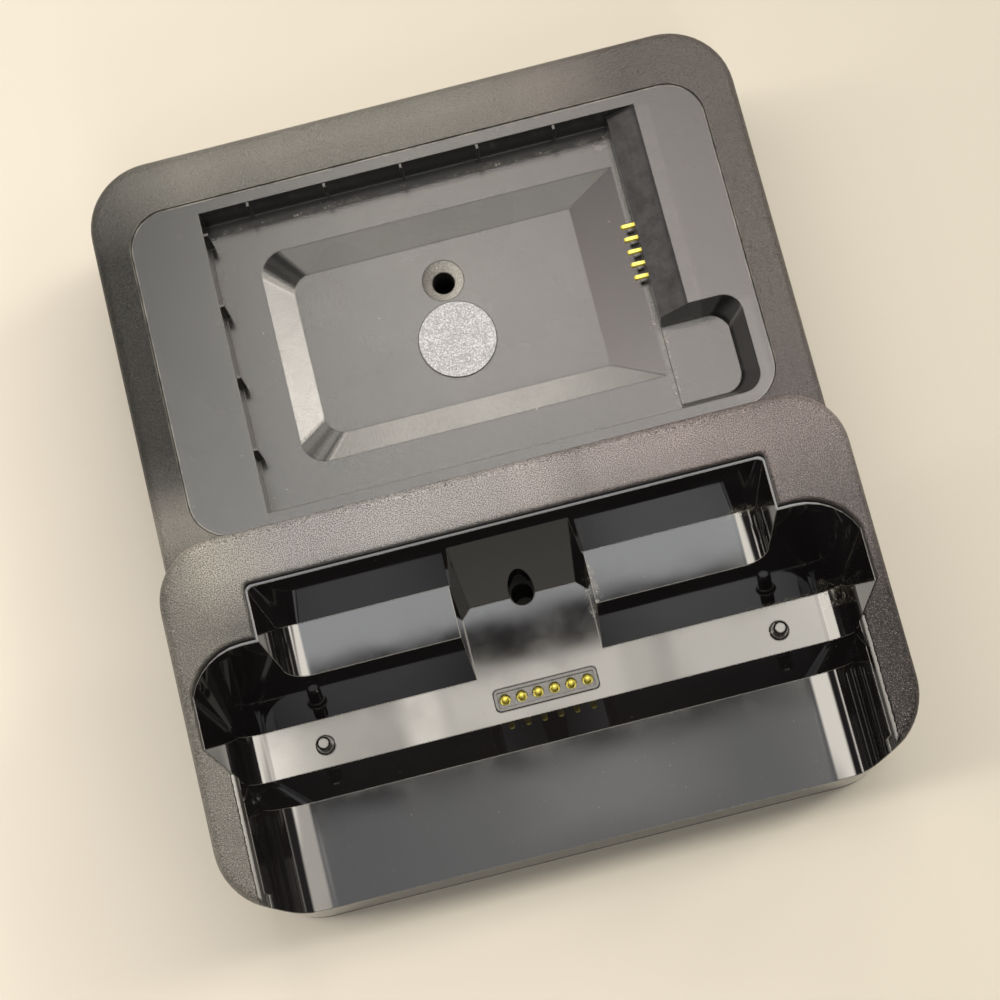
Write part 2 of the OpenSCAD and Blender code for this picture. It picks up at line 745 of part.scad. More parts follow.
// The tray in the bay's floor, grown by g, with its sides running on up by a rise
module tray_space(g, rise) {
    hull() {
        translate([0, 0, bay_floor]) linear_extrude(rise) tray_plan(0, g);
        translate([0, 0, tray_floor - g]) linear_extrude(slice) tray_plan(1, g);
    }
}

// Outline of the finger notch, drawn in by d on its outer side, for hull() to wrap
module notch_plan(d, g) {
    x0 = bay_right - 1.5;
    x1 = bay_right + notch_w - d + g;
    y0 = notch_rear_y - d / 2 + g;
    y1 = bay_front_y + d - g;
    translate([x1 - notch_r, y0 - notch_r]) circle(notch_r);
    translate([x1 - notch_r, y1 + notch_r]) circle(notch_r);
    translate([x0, y1]) square([1, y0 - y1]);
}

// The finger notch beside the bay, grown by g
module notch_space(g) {
    hull() {
        translate([0, 0, plate_top]) linear_extrude(2) notch_plan(0, g);
        translate([0, 0, bay_floor + notch_step - g]) linear_extrude(slice) notch_plan(notch_draft, g);
    }
}

// The battery bay, with the slope above its contacts
module bay_space() {
    top = deck_h + 1;
    ramp_z = bay_floor + ramp_foot_h;
    ramp_top_x = bay_right + ramp_w * (top - ramp_z) / (plate_top - ramp_z);
    along_depth(bay_rear_y, notch_rear_y - 1) polygon([
        [bay_left, bay_floor], [bay_right, bay_floor], [bay_right, ramp_z], [ramp_top_x, top], [bay_left, top]
    ]);
    translate([bay_left, bay_front_y, bay_floor]) cube([bay_w, bay_d / 2, top - bay_floor - 0.5]);
}

// The walls and floor round the battery bay
module bay_walls() {
    out_x = bay_right + bay_t;
    translate([bay_left - bay_t, bay_front_y - bay_t, bay_floor - bay_t])
        cube([bay_w + 2 * bay_t, bay_d + 2 * bay_t, plate_top - bay_floor + bay_t / 2]);
    along_depth(bay_rear_y + bay_t, notch_rear_y) polygon([
        [out_x - 1, bay_floor + bay_t], [out_x, bay_floor + ramp_foot_h - bay_t / 2],
        [out_x + ramp_w, plate_top - bay_t / 2], [out_x - 1, plate_top - bay_t / 2]
    ]);
}

// The satin insert that holds the spare battery
module battery_insert() {
    sink_h = (mount_sink_dia - mount_dia) / 2;
    color([0.25, 0.25, 0.26]) difference() {
        union() {
            slab(plate_w, plate_front_y, plate_rear_y, plate_under, plate_top, plate_r, plate_r);
            bay_walls();
            tray_space(bay_t, bay_t / 2);
            intersection() {
                notch_space(bay_t);
                translate([0, bay_front_y - bay_t, 0])
                    cube([plate_w / 2 - shelf_w - fit, bay_d, plate_top - bay_t / 2]);
            }
        }
        difference() {
            union() {
                bay_space();
                notch_space(0);
            }
            bay_ribs();
        }
        tray_space(0, bay_t / 2);
        translate([0, mount_rear_y, 0]) cylinder(h = deck_h, d = mount_dia);
        translate([0, mount_rear_y, tray_floor - sink_h])
            cylinder(h = 2 * sink_h, d1 = mount_dia, d2 = mount_dia + 4 * sink_h);
        translate([0, pad_y(), tray_floor - pad_t / 2]) cylinder(h = 1.5 * pad_t, d = pad_dia + 2 * fit);
        contact_slot();
    }
}

// Where the round pad lies
function pad_y() = mount_rear_y - pad_from_hole;

// The window in the bay's wall that the contacts reach through
module contact_slot() {
    translate([bay_right - 1, contact_y - carrier_w / 2, contact_z - contact_h / 2 - 2 * fit])
        cube([bay_t + 2, carrier_w, contact_h + 4 * fit]);
}

// The thin ribs on the bay's rear and left walls, rooted in the wall and the floor
module bay_ribs() {
    root = bay_t / 2;
    x_mid = (bay_left + bay_right) / 2 - 0.6;
    y_mid = (bay_rear_y + bay_front_y) / 2 + 3;
    rib_h = plate_top - 0.2 - bay_floor + root;
    for (i = [0:rear_rib_count - 1])
        translate([x_mid + (i - (rear_rib_count - 1) / 2) * rear_rib_pitch, bay_rear_y - rib_depth, bay_floor - root])
            cube([rib_w, rib_depth + root, rib_h]);
    for (i = [0:left_rib_count - 1])
        translate([bay_left - root, y_mid + (i - (left_rib_count - 1) / 2) * left_rib_pitch, bay_floor - root])
            cube([rib_depth + root, rib_w, rib_h]);
}

// The round pad in the tray
module round_pad() {
    color([0.72, 0.73, 0.75]) translate([0, pad_y(), tray_floor - pad_t / 2]) cylinder(h = pad_t, d = pad_dia);
}

// The block of the device connector, with a raised rim and a bore for each barrel
module connector_body() {
    face = slot_floor_h + connector_rise;
    color([0.1, 0.1, 0.1]) difference() {
        translate([0, pin_y, 0])
            slab(connector_w, -connector_d / 2, connector_d / 2, board_top, face, connector_r, connector_r);
        translate([-connector_w / 2 + connector_rim, pin_y - connector_d / 2 + connector_rim, face - connector_rise])
            cube([connector_w - 2 * connector_rim, connector_d - 2 * connector_rim, far]);
        for (i = [1:pin_count]) translate([pin_x(i), pin_y, board_top - eps])
            cylinder(h = far, d = barrel_dia + fit);
    }
}

// Where spring pin i stands
function pin_x(i) = (i - (pin_count + 1) / 2) * pin_pitch;

// The barrel of a spring pin, standing on the board
module pogo_barrel(i) {
    bore = pin_dia + 0.06;
    color([0.85, 0.72, 0.4]) translate([pin_x(i), pin_y, board_top]) difference() {
        cylinder(h = barrel_h, d = barrel_dia);
        translate([0, 0, barrel_floor]) cylinder(h = barrel_h, d = bore);
    }
}

// The plunger of a spring pin, with a domed tip
module pogo_pin(i) {
    tip = slot_floor_h + pin_rise;
    color([0.95, 0.78, 0.35]) translate([pin_x(i), pin_y, 0]) {
        translate([0, 0, plunger_root]) cylinder(h = tip - plunger_root - pin_dia / 2, d = pin_dia);
        translate([0, 0, tip - pin_dia / 2]) rotate_extrude() intersection() {
            circle(d = pin_dia);
            square(pin_dia);
        }
    }
}

// One corner of the coil's square wire, at step j and corner k
function coil_point(j, k) =
    let (r = pin_dia / 2 - 0.06 - (k > 1 ? spring_wire : 0),
         a = 360 * j / spring_sides,
         rise = (plunger_root - board_top - barrel_floor - spring_wire) / (spring_turns * spring_sides),
         z = j * rise + (k == 1 || k == 2 ? spring_wire : 0))
    [r * cos(a), r * sin(a), z];

// The coil spring in a barrel, under its plunger
module pogo_spring(i) {
    last = spring_turns * spring_sides;
    sides = [for (j = [0:last - 1]) for (k = [0:3]) for (h = [0, 1])
        let (a = 4 * j + k, b = 4 * j + (k + 1) % 4)
        h == 0 ? [a, b, b + 4] : [a, b + 4, a + 4]];
    color([0.8, 0.8, 0.82]) translate([pin_x(i), pin_y, board_top + barrel_floor])
        polyhedron([for (j = [0:last]) for (k = [0:3]) coil_point(j, k)],
            concat([[3, 2, 1, 0]], sides, [[4 * last, 4 * last + 1, 4 * last + 2, 4 * last + 3]]));
}

// The carrier of the battery contacts, behind the bay's wall
module contact_carrier() {
    slot_h = contact_h + 2 * fit;
    rise = (plate_top - bay_floor - ramp_foot_h) / ramp_w;
    under = bay_floor + ramp_foot_h - bay_t / 2 - fit;
    color([0.1, 0.1, 0.1]) difference() {
        translate([carrier_x, contact_y - carrier_w / 2, contact_z - contact_h / 2 - carrier_wall])
            cube([carrier_l, carrier_w, contact_h + 2 * carrier_wall]);
        along_depth(contact_y + carrier_w, contact_y - carrier_w) polygon([
            [carrier_x - 1, under - rise], [carrier_x + ramp_w, under + rise * ramp_w],
            [carrier_x - 1, under + rise * ramp_w]
        ]);
        for (i = [1:contact_count])
            translate([carrier_x - eps, contact_yi(i) - contact_w / 2 - fit, contact_z - slot_h / 2])
                cube([carrier_l - 0.8, contact_w + 2 * fit, slot_h]);
    }
}

// Where battery contact i lies
function contact_yi(i) = contact_y + ((contact_count + 1) / 2 - i) * contact_pitch;

// A battery contact: a strip bent round into a loop with a round nose
module battery_contact(i) {
    r = contact_h / 2;
    x0 = bay_right - contact_reach + r;
    x1 = carrier_x + carrier_l - 0.8 - contact_travel - 0.2;
    color([0.95, 0.78, 0.3]) along_depth(contact_yi(i) + contact_w / 2, contact_yi(i) - contact_w / 2)
        translate([0, contact_z]) difference() {
            union() {
                translate([x0, 0]) circle(r);
                translate([x0, -r]) square([x1 - x0, 2 * r]);
            }
            translate([x0, 0]) circle(r - contact_t);
            translate([x0, contact_t - r]) square([x1 - x0 - contact_t, 2 * (r - contact_t)]);
        }
}

// The main circuit board
module main_board() {
    gap = 0.5;
    color([0.1, 0.35, 0.2]) difference() {
        translate([-board_w / 2, board_rear_y - board_d, board_h]) cube([board_w, board_d, board_t]);
        for (y = [mount_rear_y, mount_front_y])
            translate([0, y, 0]) cylinder(h = far, d = mount_dia + 2 * tube_t + 2 * gap);
        for (x = [-post_x, post_x]) for (y = post_ys)
            translate([x, y, 0]) cylinder(h = far, d = board_screw_dia + 2 * fit);
    }
}

// The power inlet at the rear edge of the board
module power_inlet() {
    color([0.08, 0.08, 0.08]) translate([-jack_x, rear_y - shell_t / 2, jack_z]) difference() {
        union() {
            translate([-jack_w / 2, -jack_d, -jack_h / 2]) cube([jack_w, jack_d - shell_t, jack_h]);
            rotate([90, 0, 0]) cylinder(h = shell_t + eps, d = jack_w);
        }
        translate([0, eps, 0]) rotate([90, 0, 0]) cylinder(h = jack_d - 3, d = jack_bore);
        translate([0, eps, 0]) rotate([90, 0, 0]) cylinder(h = jack_d - 1, d = jack_pin_dia + fit);
    }
}

// The centre pin of the power inlet
module inlet_pin() {
    color([0.8, 0.8, 0.82]) translate([-jack_x, rear_y - shell_t / 2 - 1.5, jack_z]) rotate([90, 0, 0])
        cylinder(h = jack_d - 1 - 1.5, d = jack_pin_dia);
}

// The socket of the contact ribbon on the board
module ribbon_socket() {
    x = carrier_x + carrier_l / 2;
    slot_w = ribbon_t + 0.6;
    wall = 0.6;
    color([0.9, 0.88, 0.8]) translate([x, contact_y, board_top]) difference() {
        translate([-socket_w / 2, -carrier_w / 2 - wall, 0]) cube([socket_w, carrier_w + 2 * wall, socket_h]);
        translate([-slot_w / 2, -carrier_w / 2 + wall, socket_floor]) cube([slot_w, carrier_w - 2 * wall, socket_h]);
    }
}

// The flat ribbon from the contact carrier down to its socket
module contact_ribbon() {
    x = carrier_x + carrier_l / 2;
    z_top = contact_z - contact_h / 2 - carrier_wall;
    color([0.75, 0.6, 0.35]) translate([x - ribbon_t / 2, contact_y - carrier_w / 2 + 1, board_top + socket_floor])
        cube([ribbon_t, carrier_w - 2, z_top - board_top - socket_floor]);
}

// The charge controller on the board
module charge_chip() {
    color([0.1, 0.1, 0.1]) translate([-charger_x - chip_w / 2, board_rear_y - chip_from_rear, board_top])
        cube([chip_w, chip_w, chip_h]);
}

// The inductor of the charger on the board
module power_inductor() {
    half = inductor_w / 2;
    color([0.25, 0.25, 0.27]) translate([-charger_x, board_rear_y - inductor_from_rear + half, board_top])
        difference() {
            translate([-half, -half, 0]) cube([inductor_w, inductor_w, inductor_h]);
            translate([0, 0, inductor_h - 0.6]) cylinder(h = 1, r = half - 1);
        }
}

// The smoothing capacitor beside the inlet
module bulk_capacitor() {
    x = -jack_x + jack_w / 2 + capacitor_gap + capacitor_dia / 2;
    color([0.15, 0.2, 0.35]) translate([x, board_rear_y - capacitor_gap - capacitor_dia / 2, board_top])
        cylinder(h = capacitor_h, d = capacitor_dia);
}

// The four screws that hold the bottom cover to the housing
module case_screws() {
    color([0.6, 0.6, 0.62]) for (x = [-case_x, case_x]) for (y = case_ys) translate([x, y, head_seat]) {
        translate([0, 0, -head_t]) difference() {
            cylinder(h = head_t, d = case_head_dia);
            for (a = [0, 90]) rotate([0, 0, a]) translate([-cross_span / 2, -cross_w / 2, -eps]) cube([cross_span, cross_w, cross_deep]);
        }
        translate([0, 0, -eps]) cylinder(h = case_screw_l, d = case_screw_dia);
    }
}

// The four screws that hold the board to its posts
module board_screws() {
    color([0.6, 0.6, 0.62]) for (x = [-post_x, post_x]) for (y = post_ys) translate([x, y, 0]) {
        translate([0, 0, board_top]) difference() {
            cylinder(h = head_t, d = 2 * post_r - 0.6);
            for (a = [0, 90]) rotate([0, 0, a]) translate([-cross_span / 2, -cross_w / 2, head_t - cross_deep])
                cube([cross_span, cross_w, 1]);
        }
        translate([0, 0, base_top + 0.4]) cylinder(h = board_top - base_top - 0.4 + eps, d = board_screw_dia);
    }
}

// A rubber foot in its seat
module rubber_foot(i) {
    x = foot_xs[(i - 1) % 2];
    y = foot_ys[floor((i - 1) / 2)];
    color([0.16, 0.16, 0.16]) translate([x, y, 0]) {
        cylinder(h = 0.4, d1 = foot_dia - 0.8, d2 = foot_dia);
        translate([0, 0, 0.4 - eps]) cylinder(h = foot_h + foot_seat - 0.4 + eps, d = foot_dia);
    }
}

top_housing();
base_cover();
cradle_insert();
battery_insert();
round_pad();
connector_body();
contact_carrier();
main_board();
power_inlet();
inlet_pin();
contact_ribbon();
ribbon_socket();
charge_chip();
power_inductor();
bulk_capacitor();
case_screws();
board_screws();
for (i = [1:pin_count]) pogo_pin(i);
for (i = [1:pin_count]) pogo_barrel(i);
for (i = [1:pin_count]) pogo_spring(i);
for (i = [1:contact_count]) battery_contact(i);
for (i = [1:4]) rubber_foot(i);
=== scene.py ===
import math

import bmesh
import bpy
from mathutils import Matrix, Vector


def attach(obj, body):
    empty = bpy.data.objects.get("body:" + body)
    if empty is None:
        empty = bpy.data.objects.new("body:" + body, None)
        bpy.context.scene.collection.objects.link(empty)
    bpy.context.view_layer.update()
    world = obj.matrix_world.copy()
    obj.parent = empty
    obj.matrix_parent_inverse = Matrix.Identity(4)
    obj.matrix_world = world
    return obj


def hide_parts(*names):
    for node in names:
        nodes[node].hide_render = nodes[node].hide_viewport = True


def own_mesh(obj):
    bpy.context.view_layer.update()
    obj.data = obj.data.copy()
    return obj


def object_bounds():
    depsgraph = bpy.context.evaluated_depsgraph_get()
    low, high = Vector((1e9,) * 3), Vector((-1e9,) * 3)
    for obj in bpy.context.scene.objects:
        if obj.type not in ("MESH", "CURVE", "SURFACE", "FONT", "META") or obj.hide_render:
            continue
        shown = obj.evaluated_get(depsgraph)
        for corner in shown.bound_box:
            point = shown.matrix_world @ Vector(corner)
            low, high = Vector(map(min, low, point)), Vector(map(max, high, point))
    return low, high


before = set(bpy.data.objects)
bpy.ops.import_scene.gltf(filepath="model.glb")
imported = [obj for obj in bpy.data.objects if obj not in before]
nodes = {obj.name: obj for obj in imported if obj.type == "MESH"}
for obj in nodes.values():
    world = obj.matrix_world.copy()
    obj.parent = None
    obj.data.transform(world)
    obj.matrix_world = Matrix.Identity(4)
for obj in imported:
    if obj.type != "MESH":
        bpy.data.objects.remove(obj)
cad_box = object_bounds()
MM = 0.001
BEVEL_SAMPLES = 4


# Materials

def new_material(name):
    m = bpy.data.materials.new(name)
    m.use_nodes = True
    nt = m.node_tree
    nt.nodes.clear()
    out = nt.nodes.new("ShaderNodeOutputMaterial")
    bsdf = nt.nodes.new("ShaderNodeBsdfPrincipled")
    nt.links.new(bsdf.outputs[0], out.inputs[0])
    bsdf.inputs["IOR"].default_value = 1.6
    coord = nt.nodes.new("ShaderNodeTexCoord")
    return m, nt, bsdf, coord.outputs["Object"]


def noise(nt, vec, scale, detail=2.0, rough=0.5, stretch=None, distortion=0.0):
    """A noise whose features are about `scale` mm wide."""
    if stretch is not None:
        mp = nt.nodes.new("ShaderNodeMapping")
        mp.inputs["Scale"].default_value = stretch
        nt.links.new(vec, mp.inputs["Vector"])
        vec = mp.outputs[0]
    n = nt.nodes.new("ShaderNodeTexNoise")
    n.inputs["Scale"].default_value = 1.0 / (scale * MM)
    n.inputs["Detail"].default_value = detail
    n.inputs["Roughness"].default_value = rough
    n.inputs["Distortion"].default_value = distortion
    nt.links.new(vec, n.inputs["Vector"])
    return n.outputs["Fac"]


def ramp(nt, fac, stops):
    """Maps a value through colour or grey stops: [(position, grey or colour), ...]."""
    r = nt.nodes.new("ShaderNodeValToRGB")
    el = r.color_ramp.elements
    while len(el) < len(stops):
        el.new(0.5)
    for e, (p, c) in zip(el, stops):
        e.position = p
        e.color = (c, c, c, 1) if isinstance(c, (int, float)) else (*c, 1)
    nt.links.new(fac, r.inputs[0])
    return r.outputs[0]


def span(nt, value, lo, hi, a, b):
    n = nt.nodes.new("ShaderNodeMapRange")
    for key, v in (("From Min", lo), ("From Max", hi), ("To Min", a), ("To Max", b)):
        n.inputs[key].default_value = v
    nt.links.new(value, n.inputs["Value"])
    return n.outputs[0]


def calc(nt, op, a, b=None, clamp=False):
    n = nt.nodes.new("ShaderNodeMath")
    n.operation = op
    n.use_clamp = clamp
    for i, v in enumerate((a, b)):
        if v is None:
            continue
        if isinstance(v, (int, float)):
            n.inputs[i].default_value = v
        else:
            nt.links.new(v, n.inputs[i])
    return n.outputs[0]


def mul(nt, a, b, clamp=False):
    return calc(nt, "MULTIPLY", a, b, clamp)


def add(nt, a, b):
    return calc(nt, "ADD", a, b)


def mix(nt, fac, a, b, kind="RGBA"):
    n = nt.nodes.new("ShaderNodeMix")
    n.data_type = kind
    ia, ib = (6, 7) if kind == "RGBA" else (2, 3)
    out = 2 if kind == "RGBA" else 0
    if isinstance(fac, (int, float)):
        n.inputs[0].default_value = fac
    else:
        nt.links.new(fac, n.inputs[0])
    for i, v in ((ia, a), (ib, b)):
        if isinstance(v, tuple):
            n.inputs[i].default_value = (*v, 1)
        elif isinstance(v, (int, float)):
            n.inputs[i].default_value = v
        else:
            nt.links.new(v, n.inputs[i])
    return n.outputs[out]


def most(nt, *parts):
    """The largest of some values."""
    out = parts[0]
    for q in parts[1:]:
        out = calc(nt, "MAXIMUM", out, q)
    return out


def axis_of(nt, vec, i):
    n = nt.nodes.new("ShaderNodeSeparateXYZ")
    nt.links.new(vec, n.inputs[0])
    return n.outputs[i]


def bump(nt, bsdf, height, distance_mm, strength=1.0, edge_mm=None, normal=None):
    b = nt.nodes.new("ShaderNodeBump")
    b.inputs["Strength"].default_value = strength
    b.inputs["Distance"].default_value = distance_mm * MM
    nt.links.new(height, b.inputs["Height"])
    if edge_mm:
        v = nt.nodes.new("ShaderNodeBevel")
        v.samples = BEVEL_SAMPLES
        v.inputs["Radius"].default_value = edge_mm * MM
        nt.links.new(v.outputs[0], b.inputs["Normal"])
    elif normal is not None:
        nt.links.new(normal, b.inputs["Normal"])
    nt.links.new(b.outputs[0], bsdf.inputs["Normal"])


def zone(nt, vec, x, y, z=None, soft=0.5):
    """A soft box in millimetres: 1 inside, 0 outside. A side beyond the part needs no step."""
    out = None
    for i, (lo, hi) in enumerate((x, y, z) if z else (x, y)):
        v = axis_of(nt, vec, i)
        for at, a, b in ((lo, 0.0, 1.0), (hi, 1.0, 0.0)):
            if (at + soft) * MM <= cad_box[0][i] or (at - soft) * MM >= cad_box[1][i]:
                continue
            m = span(nt, v, (at - soft) * MM, (at + soft) * MM, a, b)
            out = m if out is None else mul(nt, out, m)
    return out


def specks(nt, vec, cell, size, share):
    """Scattered dots `size` mm wide, one in some cells of `cell` mm."""
    n = nt.nodes.new("ShaderNodeTexVoronoi")
    n.inputs["Scale"].default_value = 1.0 / (cell * MM)
    nt.links.new(vec, n.inputs["Vector"])
    dot = span(nt, n.outputs["Distance"], 0.35 * size / cell, 0.6 * size / cell, 1.0, 0.0)
    pick = calc(nt, "LESS_THAN", axis_of(nt, n.outputs["Color"], 0), share)
    return mul(nt, dot, pick)


def scratches(nt, vec, angle, length, width, gap, share):
    """Fine straight marks in one direction of the XY plane."""
    mp = nt.nodes.new("ShaderNodeMapping")
    mp.inputs["Rotation"].default_value = (0, 0, math.radians(angle))
    nt.links.new(vec, mp.inputs["Vector"])
    sc = nt.nodes.new("ShaderNodeMapping")
    sc.inputs["Scale"].default_value = (1.0 / length, 1.0 / gap, 1.0 / length)
    nt.links.new(mp.outputs[0], sc.inputs["Vector"])
    n = nt.nodes.new("ShaderNodeTexVoronoi")
    n.inputs["Scale"].default_value = 1.0 / MM
    nt.links.new(sc.outputs[0], n.inputs["Vector"])
    mid = nt.nodes.new("ShaderNodeVectorMath")
    mid.operation = "SUBTRACT"
    nt.links.new(sc.outputs[0], mid.inputs[0])
    sc2 = nt.nodes.new("ShaderNodeVectorMath")
    sc2.operation = "SCALE"
    sc2.inputs["Scale"].default_value = MM
    nt.links.new(n.outputs["Position"], sc2.inputs[0])
    nt.links.new(sc2.outputs[0], mid.inputs[1])
    off = calc(nt, "ABSOLUTE", axis_of(nt, mid.outputs[0], 1))
    line = span(nt, off, 0.2 * width / gap * MM, 0.6 * width / gap * MM, 1.0, 0.0)
    along = calc(nt, "ABSOLUTE", axis_of(nt, mid.outputs[0], 0))
    ends = span(nt, along, 0.25 * MM, 0.42 * MM, 1.0, 0.0)
    pick = calc(nt, "LESS_THAN", axis_of(nt, n.outputs["Color"], 0), share)
    return mul(nt, mul(nt, line, ends), pick)


def crumbs(nt, vec, patch):
    """Patches of fine dust: small crumbs, thick in some places and none in others."""
    fine = most(nt, specks(nt, vec, 0.30, 0.17, 0.5), specks(nt, vec, 0.55, 0.30, 0.35))
    thick = span(nt, noise(nt, vec, patch, 3, 0.6), 0.44, 0.60, 0.0, 1.0)
    return mul(nt, add(nt, mul(nt, fine, 0.75), 0.12), thick)


def soft_edges(nt, radius_mm, lo=0.03, hi=0.16):
    """The normal with rounded edges, and a mask for painting highlights along them: 1 on the edges
    of a piece, 0 away from them.
    """
    v = nt.nodes.new("ShaderNodeBevel")
    v.samples = BEVEL_SAMPLES
    v.inputs["Radius"].default_value = radius_mm * MM
    g = nt.nodes.new("ShaderNodeNewGeometry")
    d = nt.nodes.new("ShaderNodeVectorMath")
    d.operation = "DOT_PRODUCT"
    nt.links.new(v.outputs[0], d.inputs[0])
    nt.links.new(g.outputs["Normal"], d.inputs[1])
    return v.outputs[0], span(nt, calc(nt, "SUBTRACT", 1.0, d.outputs["Value"]), lo, hi, 0.0, 1.0)


def rim_line(nt, vec, half_x, y0, y1, r, width):
    """1 within `width` mm of the outline of a rounded rectangle."""
    qx = calc(nt, "SUBTRACT", calc(nt, "ABSOLUTE", axis_of(nt, vec, 0)), (half_x - r) * MM)
    y = calc(nt, "SUBTRACT", axis_of(nt, vec, 1), (y0 + y1) / 2 * MM)
    qy = calc(nt, "SUBTRACT", calc(nt, "ABSOLUTE", y), ((y1 - y0) / 2 - r) * MM)
    ox, oy = calc(nt, "MAXIMUM", qx, 0.0), calc(nt, "MAXIMUM", qy, 0.0)
    far = calc(nt, "SQRT", add(nt, mul(nt, ox, ox), mul(nt, oy, oy)))
    inside = calc(nt, "MINIMUM", calc(nt, "MAXIMUM", qx, qy), 0.0)
    d = calc(nt, "SUBTRACT", add(nt, far, inside), r * MM)
    return span(nt, calc(nt, "ABSOLUTE", d), 0.5 * width * MM, width * MM, 1.0, 0.0)


DUST = (0.55, 0.50, 0.40)
GROOVE_DUST = (0.34, 0.32, 0.28)
# The outline of the battery insert in the deck, in millimetres
PLATE_HALF_X, PLATE_FRONT_Y, PLATE_REAR_Y, PLATE_CORNER, GROOVE_WIDTH = 44.4, -2.1, 49.3, 6.0, 0.26


def groove_dust(nt, vec):
    """Patchy dust in the groove round the battery insert."""
    line = rim_line(nt, vec, PLATE_HALF_X, PLATE_FRONT_Y, PLATE_REAR_Y, PLATE_CORNER, GROOVE_WIDTH)
    return mul(nt, line, span(nt, noise(nt, vec, 3.0, 4), 0.40, 0.65, 0.10, 0.65))


def housing_material():
    m, nt, bsdf, vec = new_material("housing_textured")
    x = axis_of(nt, vec, 0)
    wobble = span(nt, noise(nt, vec, 0.5, 2), 0.3, 0.7, -0.07, 0.07)
    in_x = add(nt, mul(nt, calc(nt, "ABSOLUTE", x), 1.0 / MM), wobble)
    # The smooth inner band of the two arms
    arm_zone = zone(nt, vec, (-60, 60), (-70, -37.5), (40.5, 60), 0.3)
    arm = mul(nt, span(nt, in_x, 45.15, 45.30, 1.0, 0.0), arm_zone)
    rough_skin = calc(nt, "SUBTRACT", 1.0, arm)
    cloud = noise(nt, vec, 22, 3)
    # Painted light and shade: how light the skin is, place by place, lighter where light falls on
    # the block and the left arm, darker on the right arm and the left of the deck
    tone_and_painted_light = 0.042
    on_block, on_deck, any_height = (37, 60), (24, 60), None
    for zx, zy, zz, soft, amount in (
            ((-46, 8), (-14, -1), on_block, 4, 0.185),
            ((8, 34), (-14, -1), on_block, 6, 0.150),
            ((34, 60), (-16, -1), on_block, 6, 0.07),
            ((-60, -40), (-37, -14), on_block, 5, 0.050),
            ((-60, -40), (-70, -37), any_height, 5, 0.055),
            ((40, 60), (-70, -32), any_height, 6, -0.042),
            ((-40, 28), (48, 60), on_deck, 6, 0.10),
            ((-60, -40), (8, 48), on_deck, 5, -0.034),
            ((-60, -40), (-4, 5), on_deck, 3, 0.11),
            ((40, 60), (-4, 30), on_deck, 6, 0.008)):
        tone_and_painted_light = add(nt, mul(nt, zone(nt, vec, zx, zy, zz, soft), amount), tone_and_painted_light)
    tone_and_painted_light = calc(nt, "MAXIMUM", tone_and_painted_light, 0.006)
    tone_and_painted_light = mul(nt, tone_and_painted_light, span(nt, cloud, 0.3, 0.7, 0.85, 1.15))
    deep = mix(nt, zone(nt, vec, (-60, 60), (-70, -1.5), None, 3.0), 0.35, 1.0, "FLOAT")
    deep = mul(nt, deep, rough_skin)
    grit = mix(nt, deep, 1.0, span(nt, noise(nt, vec, 0.125, 0.0), 0.36, 0.64, 0.1, 1.9), "FLOAT")
    tone_and_painted_light = mul(nt, tone_and_painted_light, grit)
    # Painted glints: bright flecks on the tips of the grain where its facets catch the light, more
    # on the block and arms than on the deck
    painted_glints = span(nt, noise(nt, vec, 0.13, 0.0), 0.62, 0.74, 0.0, 0.16)
    tone_and_painted_light = add(nt, tone_and_painted_light, mul(nt, painted_glints, deep))
    tone_and_painted_light = mul(nt, tone_and_painted_light, span(nt, arm, 0.0, 1.0, 1.0, 0.4))
    # Painted light: the colour is tinted olive and grey on the left and warm mauve and brown on
    # the right, as the light falls
    left = mix(nt, span(nt, x, -0.043, -0.03, 0.0, 1.0), (0.50, 0.47, 0.41), (0.50, 0.485, 0.488))
    block_hue = mix(nt, span(nt, x, -0.015, 0.042, 0.0, 1.0), left, (0.53, 0.43, 0.425))
    deck_hue = mix(nt, span(nt, x, 0.0, 0.045, 0.0, 1.0), (0.50, 0.48, 0.42), (0.53, 0.43, 0.39))
    hue = mix(nt, span(nt, axis_of(nt, vec, 1), 0.002, 0.010, 0.0, 1.0), block_hue, deck_hue)
    base = mix(nt, mul(nt, tone_and_painted_light, 2.0, True), (0.0, 0.0, 0.0), hue)
    lint = specks(nt, vec, 6.0, 0.20, 0.3)
    groove = groove_dust(nt, vec)
    normal, edges = soft_edges(nt, 0.4, 0.06, 0.24)
    # Painted highlight: a light line along the edges, where their rounding catches the light
    base = mix(nt, mul(nt, edges, 0.35), base, (0.22, 0.21, 0.20))
    base = mix(nt, groove, base, GROOVE_DUST)
    base = mix(nt, mul(nt, lint, 0.8), base, DUST)
    nt.links.new(base, bsdf.inputs["Base Color"])
    rough = span(nt, noise(nt, vec, 5, 2), 0.3, 0.7, 0.31, 0.38)
    nt.links.new(mix(nt, arm, rough, 0.12, "FLOAT"), bsdf.inputs["Roughness"])
    matte = most(nt, zone(nt, vec, (42, 60), (-70, -30), None, 5),
                 zone(nt, vec, (-60, -40), (8, 48), None, 5))
    nt.links.new(mix(nt, matte, 0.5, 0.28, "FLOAT"), bsdf.inputs["Specular IOR Level"])
    grain = add(nt, noise(nt, vec, 0.36, 2.0, 0.6), mul(nt, noise(nt, vec, 0.8, 1.0), 0.5))
    grain = mul(nt, grain, rough_skin)
    bump(nt, bsdf, grain, 0.22, 1.0, normal=normal)
    return m


